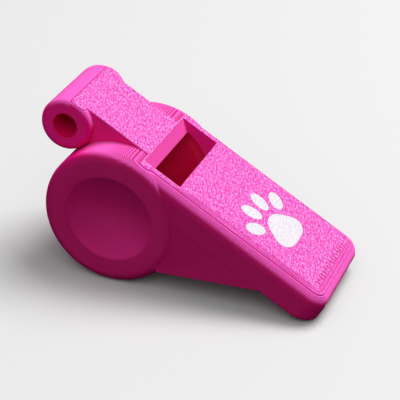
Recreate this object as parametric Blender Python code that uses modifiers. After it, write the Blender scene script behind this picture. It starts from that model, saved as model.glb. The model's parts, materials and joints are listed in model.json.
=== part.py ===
"""A printed training whistle: a one-piece body, the loose pea in its drum, and a paw print
inlaid flush in the top face of its mouthpiece.

The whistle is drawn with its flat top face, the one that is printed on the bed, at z = 0 and
level: x runs from the lanyard barrel to the mouth, and y is the axis of the drum. An empty then
tips it forwards until it rests on the drum and on the lower edge of the mouth.
"""

from math import asin, atan2, cos, pi, radians, sin, sqrt

import bmesh
import bpy
import numpy as np
from mathutils import Matrix, Vector

MM = 0.001

# ---- driving dimensions, in metres ----
# Drum
DRUM_RADIUS = 11.0 * MM
DRUM_WIDTH = 20.6 * MM
DRUM_RIM_FILLET = 1.6 * MM
DISH_RADIUS = 7.1 * MM
DISH_DEPTH = 1.6 * MM
DRUM_WALL = 1.7 * MM
DRUM_SIDE_WALL = 1.6 * MM
CHAMBER_FILLET = 1.0 * MM

# Mouthpiece
MOUTHPIECE_LENGTH = 33.7 * MM  # from the drum's axis
MOUTHPIECE_INSET = 0.3 * MM  # how far each side lies inside the drum's
MOUTHPIECE_HEIGHT = 4.7 * MM
TOP_FILLET = 2.0 * MM
BOTTOM_FILLET = 0.5 * MM
BITE_LENGTH = 9.1 * MM  # the flat underside, from the mouth to the belly
BELLY_DROP = radians(13.5)  # how far below the drum's axis the belly meets the drum

# Window, ramp and windway
WINDOW_SETBACK = 0.3 * MM  # from the drum's axis towards the barrel
WINDOW_LENGTH = 6.0 * MM
WINDOW_SIDE_WALL = 2.5 * MM
RAMP_LENGTH = 1.45 * MM
WINDWAY_ROOF = 1.3 * MM  # thickness over the windway at the mouth
WINDWAY_FLOOR = 1.1 * MM  # thickness under it at the mouth
JET_ROOF = 0.9 * MM  # thickness over the windway at the window
JET_HEIGHT = 1.3 * MM  # height of the windway at the window

# Lanyard barrel and the web that carries it
BARREL_GAP = 0.1 * MM  # between the barrel and the drum
BARREL_RADIUS = 4.1 * MM
BARREL_LENGTH = 14.4 * MM
BARREL_FILLET = 0.5 * MM
BORE_RADIUS = 2.15 * MM
WEB_INSET = 1.3 * MM  # how far each side lies inside the barrel's end

# The bed shaves this much off the round tops that rest on it
BED_SQUASH = 0.08 * MM

# Pea
PEA_DIAMETER = 8.0 * MM
PEA_CLEARANCE = 0.3 * MM

# Inlaid paw print
INLAY_THICKNESS = 0.4 * MM
INLAY_GAP = 0.1 * MM
PAD_LENGTH = 5.6 * MM
PAD_WIDTH = 7.6 * MM
PAD_LOBES = 0.1  # how far the pad's three lobes swell, as a share of its size
TOE_COUNT = 4
TOE_LENGTH = 3.6 * MM
TOE_WIDTH = 2.4 * MM
TOE_GAP = 1.3 * MM  # between the pad and the inner end of a toe
TOE_SPREAD = radians(34)

# Fineness of the round shapes
DRUM_STEPS = 96
BARREL_STEPS = 48
ARC_STEPS = 5
DISH_STEPS = 6
PAD_STEPS = 40
TOE_STEPS = 24
CREASE = radians(30)  # edges sharper than this stay crisp

# ---- sizes that follow ----
HALF_DRUM = DRUM_WIDTH / 2
DRUM_AXIS = Vector((0, 0, -DRUM_RADIUS + BED_SQUASH))
CHAMBER_RADIUS = DRUM_RADIUS - DRUM_WALL
AXIS_DISTANCE = DRUM_RADIUS + BARREL_GAP + BARREL_RADIUS
BARREL_OFFSET = sqrt(AXIS_DISTANCE**2 - (DRUM_RADIUS - BARREL_RADIUS) ** 2)
BARREL_AXIS = Vector((-BARREL_OFFSET, 0, -BARREL_RADIUS + BED_SQUASH))
WEB_WIDTH = BARREL_LENGTH - 2 * WEB_INSET
MOUTHPIECE_WIDTH = DRUM_WIDTH - 2 * MOUTHPIECE_INSET
BELLY_LENGTH = MOUTHPIECE_LENGTH - BITE_LENGTH
WINDOW_START = -WINDOW_SETBACK
WINDOW_END = WINDOW_START + WINDOW_LENGTH
WINDOW_WIDTH = MOUTHPIECE_WIDTH - 2 * WINDOW_SIDE_WALL
WINDWAY_HEIGHT = MOUTHPIECE_HEIGHT - WINDWAY_ROOF - WINDWAY_FLOOR
BLADE_X = WINDOW_START + RAMP_LENGTH
BLADE_DEPTH = JET_ROOF + JET_HEIGHT / 2
PEA_ORBIT = CHAMBER_RADIUS - PEA_DIAMETER / 2 - PEA_CLEARANCE
TOE_REACH = PAD_LENGTH / 2 + TOE_GAP + TOE_LENGTH / 2  # from the middle of the pad to a toe's
PRINT_X = (WINDOW_END + MOUTHPIECE_LENGTH) / 2  # the middle of the face ahead of the window
PAD_X = PRINT_X + (TOE_REACH + TOE_LENGTH / 2 - PAD_LENGTH / 2) / 2
OVERCUT = 3 * MM  # how far a cutter reaches past what it cuts

PINK = (0.80, 0.02, 0.36, 1)
WHITE = (0.86, 0.86, 0.84, 1)


# ---- scene, collections and materials ----
def clear_scene():
    for obj in list(bpy.data.objects):
        bpy.data.objects.remove(obj, do_unlink=True)


def new_collection(name):
    collection = bpy.data.collections.new(name)
    bpy.context.scene.collection.children.link(collection)
    return collection


def new_material(name, colour, roughness):
    material = bpy.data.materials.new(name)
    material.use_nodes = True
    material.diffuse_color = colour
    shader = material.node_tree.nodes["Principled BSDF"]
    shader.inputs["Base Color"].default_value = colour
    shader.inputs["Roughness"].default_value = roughness
    shader.inputs["Metallic"].default_value = 0
    return material


def new_object(name, mesh, collection):
    obj = bpy.data.objects.new(name, mesh)
    collection.objects.link(obj)
    return obj


def as_cutter(obj):
    obj.hide_render = True
    obj.display_type = "WIRE"
    return obj


def boolean(obj, other, operation):
    modifier = obj.modifiers.new(f"{operation.title()} {other.name}", "BOOLEAN")
    modifier.operation = operation
    modifier.object = other
    modifier.solver = "EXACT"


def new_shading():
    """A node group that shades a finished shape smooth and keeps its creases crisp."""
    group = bpy.data.node_groups.new("smooth_but_creases", "GeometryNodeTree")
    group.is_modifier = True
    for in_out in ("INPUT", "OUTPUT"):
        group.interface.new_socket("Geometry", in_out=in_out, socket_type="NodeSocketGeometry")
    start = group.nodes.new("NodeGroupInput")
    end = group.nodes.new("NodeGroupOutput")
    faces = group.nodes.new("GeometryNodeSetShadeSmooth")
    edges = group.nodes.new("GeometryNodeSetShadeSmooth")
    edges.domain = "EDGE"
    angle = group.nodes.new("GeometryNodeInputMeshEdgeAngle")
    shallow = group.nodes.new("FunctionNodeCompare")
    shallow.operation = "LESS_THAN"
    shallow.inputs["B"].default_value = CREASE
    group.links.new(angle.outputs["Unsigned Angle"], shallow.inputs["A"])
    group.links.new(start.outputs["Geometry"], faces.inputs["Geometry"])
    group.links.new(faces.outputs["Geometry"], edges.inputs["Geometry"])
    group.links.new(shallow.outputs["Result"], edges.inputs["Shade Smooth"])
    group.links.new(edges.outputs["Geometry"], end.inputs["Geometry"])
    return group


# ---- shapes ----
def arc(centre, radius, start, end, steps):
    """Points of an arc in a plane, from angle start to angle end."""
    angles = [start + (end - start) * i / steps for i in range(steps + 1)]
    return [(centre[0] + radius * cos(a), centre[1] + radius * sin(a)) for a in angles]


def turned(name, profile, steps, centre, collection, stagger=False):
    """A solid of revolution about y. The profile is (radius, y) pairs that start and end on the
    axis and run from the far side to the near side. Staggered facets lie half a step round from
    those of the round shape that the solid cuts."""
    mesh = bpy.data.meshes.new(name)
    points = [(radius, y, 0) for radius, y in profile]
    edges = [(i, i + 1) for i in range(len(points) - 1)]
    mesh.from_pydata(points, edges, [])
    obj = new_object(name, mesh, collection)
    obj.location = centre
    obj.rotation_euler.y = pi / steps if stagger else 0
    screw = obj.modifiers.new("Turn", "SCREW")
    screw.axis = "Y"
    screw.angle = 2 * pi
    screw.steps = steps
    screw.render_steps = steps
    screw.use_merge_vertices = True
    screw.merge_threshold = 1e-6
    return obj


def extruded(name, outline, width, collection, axis="Y"):
    """A flat outline drawn out to both sides of its plane: (x, z) pairs along y, or (x, y)
    pairs along z."""
    mesh = bpy.data.meshes.new(name)
    shape = bmesh.new()
    place = (lambda a, b: (a, -width / 2, b)) if axis == "Y" else (lambda a, b: (a, b, -width / 2))
    corners = [shape.verts.new(place(a, b)) for a, b in outline]
    face = shape.faces.new(corners)
    grown = bmesh.ops.extrude_face_region(shape, geom=[face])["geom"]
    along = Vector((0, width, 0)) if axis == "Y" else Vector((0, 0, width))
    moved = [item for item in grown if isinstance(item, bmesh.types.BMVert)]
    bmesh.ops.translate(shape, verts=moved, vec=along)
    bmesh.ops.recalc_face_normals(shape, faces=shape.faces)
    shape.to_mesh(mesh)
    shape.free()
    return new_object(name, mesh, collection)


def mirrored(half):
    """A profile's half on the far side (y > 0), followed by its mirror image on the near side."""
    return half + [(radius, -y) for radius, y in reversed(half)]


def dish_arc(side_y, past=0):
    """The spherical hollow of a dish in the plane y = side_y, from its middle to its edge and
    past more steps beyond it, as (radius, y) pairs."""
    ball = (DISH_RADIUS**2 + DISH_DEPTH**2) / (2 * DISH_DEPTH)
    step = asin(DISH_RADIUS / ball) / DISH_STEPS
    angles = [step * i for i in range(DISH_STEPS + past + 1)]
    return [(ball * sin(a), side_y - DISH_DEPTH + ball * (1 - cos(a))) for a in angles]


def make_drum(collection):
    """The drum, solid, with rounded rims."""
    rim = arc(
        (DRUM_RADIUS - DRUM_RIM_FILLET, HALF_DRUM - DRUM_RIM_FILLET),
        DRUM_RIM_FILLET, pi / 2, 0, ARC_STEPS,
    )
    return turned("drum_blank", mirrored([(0, HALF_DRUM)] + rim), DRUM_STEPS, DRUM_AXIS, collection)


def make_dishes(collection):
    """The finger dish in each side of the drum: a slice of a ball."""
    slope = dish_arc(HALF_DRUM, past=1)
    far = [(0, slope[-1][1])] + slope[::-1]
    near = [(radius, -y) for radius, y in reversed(far)]
    for name, profile in (("far_dish_cutter", far), ("near_dish_cutter", near)):
        yield turned(name, profile, DRUM_STEPS, DRUM_AXIS, collection, stagger=True)


def make_chamber(collection):
    """The hollow of the drum, whose sides follow the finger dishes."""
    half_width = HALF_DRUM - DRUM_SIDE_WALL
    corner = arc(
        (CHAMBER_RADIUS - CHAMBER_FILLET, half_width - CHAMBER_FILLET),
        CHAMBER_FILLET, pi / 2, 0, ARC_STEPS - 2,
    )
    profile = mirrored(dish_arc(half_width) + corner)
    return turned("chamber_cutter", profile, DRUM_STEPS, DRUM_AXIS, collection)


def make_barrel(collection):
    half_length = BARREL_LENGTH / 2
    rim = arc(
        (BARREL_RADIUS - BARREL_FILLET, half_length - BARREL_FILLET),
        BARREL_FILLET, pi / 2, 0, ARC_STEPS - 2,
    )
    half = [(0, half_length)] + rim
    return turned("barrel_blank", mirrored(half), BARREL_STEPS, BARREL_AXIS, collection)


def make_bore(collection):
    reach = BARREL_LENGTH / 2 + OVERCUT
    profile = mirrored([(0, reach), (BORE_RADIUS, reach)])
    return turned("bore_cutter", profile, BARREL_STEPS, BARREL_AXIS, collection, stagger=True)


def make_web(collection):
    """The web between barrel and drum, closed below by the line that joins their axes. It
    starts too high, and the bed cuts it flush."""
    outline = [
        (BARREL_AXIS.x, OVERCUT), (DRUM_AXIS.x, OVERCUT),
        (DRUM_AXIS.x, DRUM_AXIS.z), (BARREL_AXIS.x, BARREL_AXIS.z),
    ]
    return extruded("web_blank", outline, WEB_WIDTH, collection)


def make_mouthpiece(collection):
    """A bar with a wide fillet round its top and its mouth corners and a small one below."""
    mesh = bpy.data.meshes.new("mouthpiece_blank")
    shape = bmesh.new()
    bmesh.ops.create_cube(shape, size=1)
    size = Vector((MOUTHPIECE_LENGTH, MOUTHPIECE_WIDTH, MOUTHPIECE_HEIGHT))
    bmesh.ops.scale(shape, vec=size, verts=shape.verts)
    middle = Vector((MOUTHPIECE_LENGTH / 2, 0, -MOUTHPIECE_HEIGHT / 2))
    bmesh.ops.translate(shape, vec=middle, verts=shape.verts)

    def at_mouth(edge):
        return all(v.co.x > MOUTHPIECE_LENGTH / 2 for v in edge.verts)

    def lies(edge, top):
        return all((v.co.z > middle.z) == top for v in edge.verts)

    def along_x(edge):
        return abs(edge.verts[0].co.x - edge.verts[1].co.x) > MOUTHPIECE_LENGTH / 2

    def is_upright(edge):
        return abs(edge.verts[0].co.z - edge.verts[1].co.z) > MOUTHPIECE_HEIGHT / 2

    wide = [
        e for e in shape.edges
        if (lies(e, True) and (along_x(e) or at_mouth(e))) or (is_upright(e) and at_mouth(e))
    ]
    bmesh.ops.bevel(
        shape, geom=wide, offset=TOP_FILLET, segments=ARC_STEPS + 1, profile=0.5, affect="EDGES",
    )
    low = -MOUTHPIECE_HEIGHT + BOTTOM_FILLET / 2
    small = [
        e for e in shape.edges
        if all(v.co.z < low for v in e.verts) and max(v.co.x for v in e.verts) > BOTTOM_FILLET
    ]
    bmesh.ops.bevel(
        shape, geom=small, offset=BOTTOM_FILLET, segments=2, profile=0.5, affect="EDGES",
    )
    bmesh.ops.recalc_face_normals(shape, faces=shape.faces)
    shape.to_mesh(mesh)
    shape.free()
    return new_object("mouthpiece_blank", mesh, collection)


def make_belly(collection):
    """The solid wedge under the mouthpiece, from its flat underside back to the drum."""
    foot = DRUM_AXIS + DRUM_RADIUS * Vector((cos(BELLY_DROP), 0, -sin(BELLY_DROP)))
    under = -MOUTHPIECE_HEIGHT
    outline = [
        (DRUM_AXIS.x, -MOUTHPIECE_HEIGHT / 2), (BELLY_LENGTH, -MOUTHPIECE_HEIGHT / 2),
        (BELLY_LENGTH, under), (foot.x, foot.z), (DRUM_AXIS.x, foot.z),
    ]
    return extruded("belly_blank", outline, MOUTHPIECE_WIDTH, collection)


def make_window(collection):
    """The window: straight through to the chamber, with a ramp down to the blade."""
    floor = -DRUM_RADIUS / 2
    outline = [
        (WINDOW_START, 0), (WINDOW_START, OVERCUT), (WINDOW_END, OVERCUT),
        (WINDOW_END, floor), (BLADE_X, floor), (BLADE_X, -BLADE_DEPTH),
    ]
    return extruded("window_cutter", outline, WINDOW_WIDTH, collection)


def make_windway(collection):
    """The flat channel that narrows from the mouth to the jet slot in the window's wall."""
    def at(x, mouth, jet):
        share = (x - WINDOW_END) / (MOUTHPIECE_LENGTH - WINDOW_END)
        return jet + (mouth - jet) * share

    start, end = (BLADE_X + WINDOW_END) / 2, MOUTHPIECE_LENGTH + OVERCUT
    roof = [(x, -at(x, WINDWAY_ROOF, JET_ROOF)) for x in (start, end)]
    base = [
        (x, -at(x, WINDWAY_ROOF + WINDWAY_HEIGHT, JET_ROOF + JET_HEIGHT)) for x in (end, start)
    ]
    return extruded("windway_cutter", roof + base, WINDOW_WIDTH, collection)


def make_bed(collection):
    """The space that the bed fills: it takes off whatever stands above the flat top face."""
    reach = MOUTHPIECE_LENGTH + BARREL_OFFSET
    outline = [(-reach, 0), (reach, 0), (reach, 2 * OVERCUT), (-reach, 2 * OVERCUT)]
    return extruded("bed_cutter", outline, 2 * DRUM_WIDTH, collection)


# ---- paw print ----
def pad_outline(grow):
    """The main pad: an ellipse with three shallow lobes, one of them towards the toes, moved
    outwards by grow along its own normals."""
    turn = np.linspace(0, 2 * pi, PAD_STEPS, endpoint=False)

    def at(angle):
        swell = 1 + PAD_LOBES * np.cos(3 * angle)
        return np.array((-PAD_LENGTH / 2 * swell * np.cos(angle), PAD_WIDTH / 2 * swell * np.sin(angle)))

    along = at(turn + pi / PAD_STEPS) - at(turn - pi / PAD_STEPS)
    along /= np.hypot(*along)
    x, y = at(turn) + grow * np.array((-along[1], along[0]))
    return list(zip(PAD_X + x, y))


def toe_outline(angle, grow):
    """A toe: an ellipse that points away from the pad, whose middle it faces."""
    turn = np.linspace(0, 2 * pi, TOE_STEPS, endpoint=False)
    out = TOE_REACH + (TOE_LENGTH / 2 + grow) * np.cos(turn)
    aside = (TOE_WIDTH / 2 + grow) * np.sin(turn)
    x = PAD_X - out * cos(angle) + aside * sin(angle)
    y = out * sin(angle) + aside * cos(angle)
    return list(zip(x, y))


def paw_outlines(grow):
    outlines = {"pad": pad_outline(grow)}
    for i in range(TOE_COUNT):
        angle = (i - (TOE_COUNT - 1) / 2) * TOE_SPREAD
        outlines[f"toe_{i + 1}"] = toe_outline(angle, grow)
    return outlines


def make_inlays(collection, material):
    for name, outline in paw_outlines(0).items():
        inlay = extruded(f"inlay_{name}", outline, INLAY_THICKNESS, collection, "Z")
        inlay.location.z = -INLAY_THICKNESS / 2
        inlay.data.materials.append(material)
        yield inlay


def make_pockets(collection):
    depth = INLAY_THICKNESS + INLAY_GAP
    height = depth + OVERCUT
    for name, outline in paw_outlines(INLAY_GAP).items():
        pocket = extruded(f"{name}_pocket_cutter", outline, height, collection, "Z")
        pocket.location.z = height / 2 - depth
        yield pocket


# ---- assembly ----
def make_body(parts, cutters, material):
    """The one-piece print: blanks joined, cut flat at the bed, then hollowed."""
    body = make_drum(parts)
    body.name = "whistle_body"
    body.data.name = "whistle_body"
    body.data.materials.append(material)
    for blank in (make_barrel(cutters), make_web(cutters)):
        boolean(body, as_cutter(blank), "UNION")
    boolean(body, as_cutter(make_bed(cutters)), "DIFFERENCE")
    for blank in (make_belly(cutters), make_mouthpiece(cutters)):
        boolean(body, as_cutter(blank), "UNION")
    holes = [
        *make_dishes(cutters), make_chamber(cutters), make_window(cutters),
        make_windway(cutters), make_bore(cutters), *make_pockets(cutters),
    ]
    for hole in holes:
        boolean(body, as_cutter(hole), "DIFFERENCE")
    return body


def rest_transform():
    """Turns the whistle until the line under its drum and its mouth is level, and stands it on
    z = 0 with the middle of its length at x = 0."""
    heel = Vector((MOUTHPIECE_LENGTH - BOTTOM_FILLET, 0, BOTTOM_FILLET - MOUTHPIECE_HEIGHT))
    span = heel - DRUM_AXIS
    tilt = atan2(span.z, span.x) + asin((DRUM_RADIUS - BOTTOM_FILLET) / span.length)
    turn = Matrix.Rotation(tilt, 4, "Y")
    nose = Vector((MOUTHPIECE_LENGTH - TOP_FILLET, 0, -TOP_FILLET))
    front = (turn @ nose).x + TOP_FILLET
    back = (turn @ BARREL_AXIS).x - BARREL_RADIUS
    lift = DRUM_RADIUS - (turn @ DRUM_AXIS).z
    return Matrix.Translation((-(front + back) / 2, 0, lift)) @ turn


def make_pea(parts, material, rest):
    """The loose ball. Its origin is on the drum's axis, about which it runs round the drum, and
    it rests at the lowest point of the chamber."""
    mesh = bpy.data.meshes.new("pea")
    shape = bmesh.new()
    bmesh.ops.create_icosphere(shape, subdivisions=3, radius=PEA_DIAMETER / 2)
    bmesh.ops.translate(shape, vec=(0, 0, -PEA_ORBIT), verts=shape.verts)
    shape.to_mesh(mesh)
    shape.free()
    pea = new_object("pea", mesh, parts)
    pea.location = rest @ DRUM_AXIS
    pea.data.materials.append(material)
    return pea


def main():
    clear_scene()
    parts = new_collection("training_whistle")
    cutters = new_collection("cutters")
    pink = new_material("pink_plastic", PINK, 0.5)
    white = new_material("white_plastic", WHITE, 0.5)
    rest = rest_transform()

    body = make_body(parts, cutters, pink)
    inlays = list(make_inlays(parts, white))
    stand = bpy.data.objects.new("rest_pose", None)
    parts.objects.link(stand)
    stand.matrix_world = rest
    for obj in [body, *inlays, *cutters.objects]:
        obj.parent = stand
    pea = make_pea(parts, pink, rest)
    shading = new_shading()
    for obj in (body, *inlays, pea):
        obj.modifiers.new("Shading", "NODES").node_group = shading


main()
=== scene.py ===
# %% [markdown]
# # A training whistle, printed layer by layer
#
# This lesson dresses a small pea whistle: a drum that holds a loose ball, a flat mouthpiece and
# a barrel for a lanyard, printed in one piece of pink plastic with a white paw print in its top
# face. A print's finish is its layers, so the body is sliced and stacked here as a printer does
# it, and every step that shows is real geometry.

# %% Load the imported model
import json

import bpy
import numpy as np
from mathutils import Matrix, Vector
from mathutils.geometry import delaunay_2d_cdt

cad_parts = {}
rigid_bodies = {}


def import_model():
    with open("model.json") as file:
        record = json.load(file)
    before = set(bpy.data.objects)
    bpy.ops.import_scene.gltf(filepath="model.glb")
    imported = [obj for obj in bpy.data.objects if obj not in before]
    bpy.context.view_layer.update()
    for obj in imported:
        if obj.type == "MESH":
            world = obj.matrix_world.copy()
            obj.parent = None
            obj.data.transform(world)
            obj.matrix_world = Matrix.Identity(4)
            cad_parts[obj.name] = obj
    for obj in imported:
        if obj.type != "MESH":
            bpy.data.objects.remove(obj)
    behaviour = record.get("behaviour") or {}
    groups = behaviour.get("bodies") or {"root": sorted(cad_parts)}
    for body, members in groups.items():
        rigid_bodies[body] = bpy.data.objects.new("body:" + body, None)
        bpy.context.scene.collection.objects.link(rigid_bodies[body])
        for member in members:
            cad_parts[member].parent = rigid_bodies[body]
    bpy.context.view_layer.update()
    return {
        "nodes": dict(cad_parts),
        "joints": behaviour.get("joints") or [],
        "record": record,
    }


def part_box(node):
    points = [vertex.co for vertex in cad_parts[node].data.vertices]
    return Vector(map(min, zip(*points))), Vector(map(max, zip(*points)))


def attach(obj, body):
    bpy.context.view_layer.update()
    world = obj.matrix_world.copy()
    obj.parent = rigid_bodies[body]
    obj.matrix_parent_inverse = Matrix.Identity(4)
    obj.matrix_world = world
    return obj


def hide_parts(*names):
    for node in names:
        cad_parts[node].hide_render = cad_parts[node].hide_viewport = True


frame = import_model()
print("nodes:", ", ".join(sorted(frame["nodes"])))

# %% [markdown]
# ## The camera
#
# A long lens looks down at the whistle's side, a little from the mouth's end. It could be placed
# by hand. It is given by the point that it looks at, its angles and its distance, because each
# of these can be changed alone.

# %% Camera
LOOK_AT = Vector((0.00006, 0, 0.01149))
AZIMUTH, ELEVATION, ROLL = (float(np.radians(a)) for a in (20.43, 29.55, 1.55))
DISTANCE = 0.2426
LENS = 142.4

back = Vector((
    np.cos(ELEVATION) * np.sin(AZIMUTH), -np.cos(ELEVATION) * np.cos(AZIMUTH), np.sin(ELEVATION),
))
camera = bpy.data.objects.new("camera", bpy.data.cameras.new("camera"))
camera.data.lens = LENS
camera.matrix_world = (
    Matrix.Translation(LOOK_AT + back * DISTANCE)
    @ back.to_track_quat("Z", "Y").to_matrix().to_4x4()
    @ Matrix.Rotation(ROLL, 4, "Z")
)
bpy.context.scene.collection.objects.link(camera)
bpy.context.scene.camera = camera
print("camera at", [round(x, 4) for x in camera.location])

# %% [markdown]
# ## The whistle's own axes
#
# The whistle stands tipped forwards, on its drum and on the lip of its mouth, but it was printed
# level: x from the lanyard barrel to the mouth, y along the drum's axis, and z = 0 at the flat
# top face, which lay on the bed. Those axes keep every outline simple. The turn comes from the
# record: the face called top_face gives the way up, and the pea's joint the drum's axis. Lengths
# are in millimetres until a mesh is finished.

# %% From the whistle's axes to the frame's
MM = 0.001
mounts = {mount["name"]: mount for mount in frame["record"]["mounts"]}
up = np.array(mounts["top_face"]["axis"])
up /= np.linalg.norm(up)
axes = np.stack([[up[2], 0, -up[0]], [0, 1, 0], up], axis=1)
drum_centre = np.array(frame["joints"][0]["pos_m"]) / MM
DRUM_RADIUS = drum_centre[2]
top_distance = up @ (np.array(mounts["top_face"]["pos_m"]) / MM - drum_centre)
origin = drum_centre + up * top_distance


def placed(points):
    """Points in the whistle's axes, in millimetres, turned into the frame's metres."""
    return (points @ axes.T + origin) * MM


print(f"drum radius {DRUM_RADIUS:.2f} mm, its axis {top_distance:.2f} mm down")

# %% [markdown]
# ## Sizes
#
# Every cut is drawn from these sizes, in millimetres. The drum's width is read from the frame,
# and most others are those of its solids. The finished surface differs from them by up to half a
# millimetre in a few places: the mouthpiece's corners, thickness and edges, the belly, the
# window, the web, the barrel's bore and ends, and the drum's crown, which lies a little under
# the bed's level, so that the first layers show on it as steps.

# %% The drum, its finger dishes and its chamber
HALF_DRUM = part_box("whistle_body")[1].y / MM
DRUM_FILLET = 1.6
CROWN_DROP = 0.14
DISH_RADIUS = 7.1
DISH_DEPTH = 1.6
DRUM_WALL = 1.7
SIDE_WALL = 1.6
CHAMBER_FILLET = 1.0
drum_depth = -top_distance
print(f"drum {2 * HALF_DRUM:.1f} mm wide, chamber {2 * (HALF_DRUM - SIDE_WALL):.1f} mm wide")

# %% The mouthpiece, and the belly that joins it to the drum
MOUTH = 33.7
HALF_MOUTH = HALF_DRUM - 0.3
MOUTH_HEIGHT = 4.9
MOUTH_CORNER = 3.0
TOP_FILLET = 2.0
LOW_FILLET = 0.2
LIP_FILLET = 1.0
BELLY = MOUTH - 9.42
BELLY_DROP = np.radians(13.5)
foot = (DRUM_RADIUS * np.cos(BELLY_DROP), drum_depth - DRUM_RADIUS * np.sin(BELLY_DROP))
print(f"belly from x = {foot[0]:.2f} to {BELLY:.2f}")

# %% The window, the blade and the windway
# The window lies between two x. The blade is an x and a depth. The jet and the windway are the
# depths of roof and floor, at the window and at the mouth.
WINDOW = (-0.75, 5.9)
HALF_WINDOW = HALF_MOUTH - 2.3
BLADE = (1.15, 1.55)
JET = (0.9, 2.2)
WINDWAY = (1.3, 3.6)
print(f"window {WINDOW[1] - WINDOW[0]:.2f} x {2 * HALF_WINDOW:.1f} mm")

# %% The barrel, its web and the pea
BARREL_GAP = 0.1
BARREL_RADIUS = 4.1
HALF_BARREL = 7.2
BARREL_FILLET = 0.8
BORE_RADIUS = 1.95
HALF_WEB = 5.75
PEA_DIAMETER = 8.0
crown = DRUM_RADIUS - top_distance
axis_distance = DRUM_RADIUS + BARREL_GAP + BARREL_RADIUS
barrel_x = -np.sqrt(axis_distance**2 - (DRUM_RADIUS - BARREL_RADIUS) ** 2)
barrel_depth = crown - BARREL_RADIUS
print(f"barrel axis at {barrel_x:.2f}, {barrel_depth:.2f}")

# %% [markdown]
# ## The print's layers
#
# The first layer is 0.2 mm thick and pressed into the bed. Each later one is 0.12 mm thick. A
# slicer cuts the model at the middle height of each layer and lets the layer's walls stand
# straight, so a shallow slope turns into wide steps and a steep one into fine lines. The same
# is done here.

# %% Layer heights
FIRST_LAYER = 0.2
LAYER = 0.12
depth = DRUM_RADIUS + top_distance
count = round((depth - FIRST_LAYER) / LAYER)
levels = np.concatenate([[0], -FIRST_LAYER - LAYER * np.arange(count + 1)])
heights = (levels[1:] + levels[:-1]) / 2
print(f"{len(heights)} layers, down to {levels[-1]:.2f} mm")

# %% [markdown]
# ## Outlines at a height
#
# Every cut through the whistle is the same left and right, so an outline is given by its half
# on the +y side, running along +x, and closed by its mirror image.

# %% Closed outlines from halves
PAST = 1


def closed(half):
    """The half outline's mirror image, then the half itself run backwards: anticlockwise."""
    return np.concatenate([half * (1, -1), half[::-1]])


def slab(x0, x1, half_width):
    """A rectangle from x0 to x1, half_width to both sides."""
    return closed(np.array([(x0, half_width), (x1, half_width)]))


print(f"hollows that open outwards are drawn {PAST} mm too long")

# %% [markdown]
# The drum, its chamber and the barrel are turned about a level axis. They could be lathed and
# then sliced, but a cut through a turned piece has a formula of its own. At a height h above the
# axis, the point x lies at the radius sqrt(x^2 + h^2), and the profile gives the half width
# there: full width, less a ball's slice inside the finger dish, less a quarter round near the
# rim. The points crowd towards each ring's outer end, where the outline turns fastest.

# %% The cut through a turned piece
DISH_STEPS = 12


def turned_half_width(radius, half_width, outer, fillet, dish):
    """Half width at a radius: a flat side, sunk by a ball's slice inside the dish and rounded
    by a quarter circle beyond outer - fillet."""
    rim = np.clip(radius - (outer - fillet), 0, fillet)
    width = half_width - fillet + np.sqrt(fillet**2 - rim**2)
    if dish:
        ball = (dish**2 + DISH_DEPTH**2) / (2 * DISH_DEPTH)
        inside_dish = np.minimum(radius, dish)
        width = width - (np.sqrt(ball**2 - inside_dish**2) - (ball - DISH_DEPTH))
    return width


def turned_cut(height, centre, half_width, outer, fillet, dish=0, steps=(DISH_STEPS, 1, 7)):
    """The outline at a height, or None above and below the piece. On the dish, the flat and the
    fillet, x = start + (end - start) * sin of an even angle, in so many steps."""
    rise = abs(height - centre[1])
    if rise >= outer:
        return None
    xs, inner = [np.zeros(1)], 0
    for ring, number in zip((dish, outer - fillet, outer), steps):
        if ring > max(rise, inner):
            start, end = np.sqrt(np.maximum((inner**2 - rise**2, ring**2 - rise**2), 0))
            angle = np.linspace(0, np.pi / 2, number + 1)[1:]
            xs.append(start + (end - start) * np.sin(angle))
        inner = ring
    x = np.concatenate(xs)
    width = turned_half_width(np.hypot(x, rise), half_width, outer, fillet, dish)
    right = np.stack([x, width], axis=1)
    half = np.concatenate([right[:0:-1] * (-1, 1), right])
    return closed(half + (centre[0], 0))


plain_drum = turned_cut(0, (0, 0), HALF_DRUM, DRUM_RADIUS, DRUM_FILLET)
print(f"a drum without dishes has {len(plain_drum)} corners")

# %% The finger dishes
def dish_cuts(height):
    """Everything outside the dish's face, from one side of the dish to the other, with x =
    sqrt(dish^2 - h^2) * sin of an even angle."""
    rise = abs(height - drum_depth)
    if rise >= DISH_RADIUS:
        return []
    end = np.sqrt(DISH_RADIUS**2 - rise**2)
    x = end * np.sin(np.linspace(-np.pi / 2, np.pi / 2, 2 * DISH_STEPS + 1))
    width = turned_half_width(
        np.hypot(x, rise), HALF_DRUM, DRUM_RADIUS, DRUM_FILLET, DISH_RADIUS
    )
    past = HALF_DRUM + PAST
    outline = np.concatenate([np.stack([x, width], axis=1), [(end, past), (-end, past)]])
    return [outline, outline * (1, -1)]


deepest = dish_cuts(drum_depth)[0]
print(f"half width in the dish's middle: {deepest[DISH_STEPS, 1]:.2f} mm")

# %% [markdown]
# The mouthpiece is a flat bar. Its top edges are rounded so widely that the layers show on them
# as ledges, its lower edges are nearly sharp, and the lip at the bottom of the mouth is rounded
# again, because the whistle stands on it.

# %% The cut through the mouthpiece
CORNER_STEPS = 12


def drawn_in(fillet, rise):
    """How far a rounded edge stands back, at a rise into it: fillet - sqrt(fillet^2 - rise^2)."""
    return fillet - np.sqrt(fillet**2 - max(rise, 0) ** 2)


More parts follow.
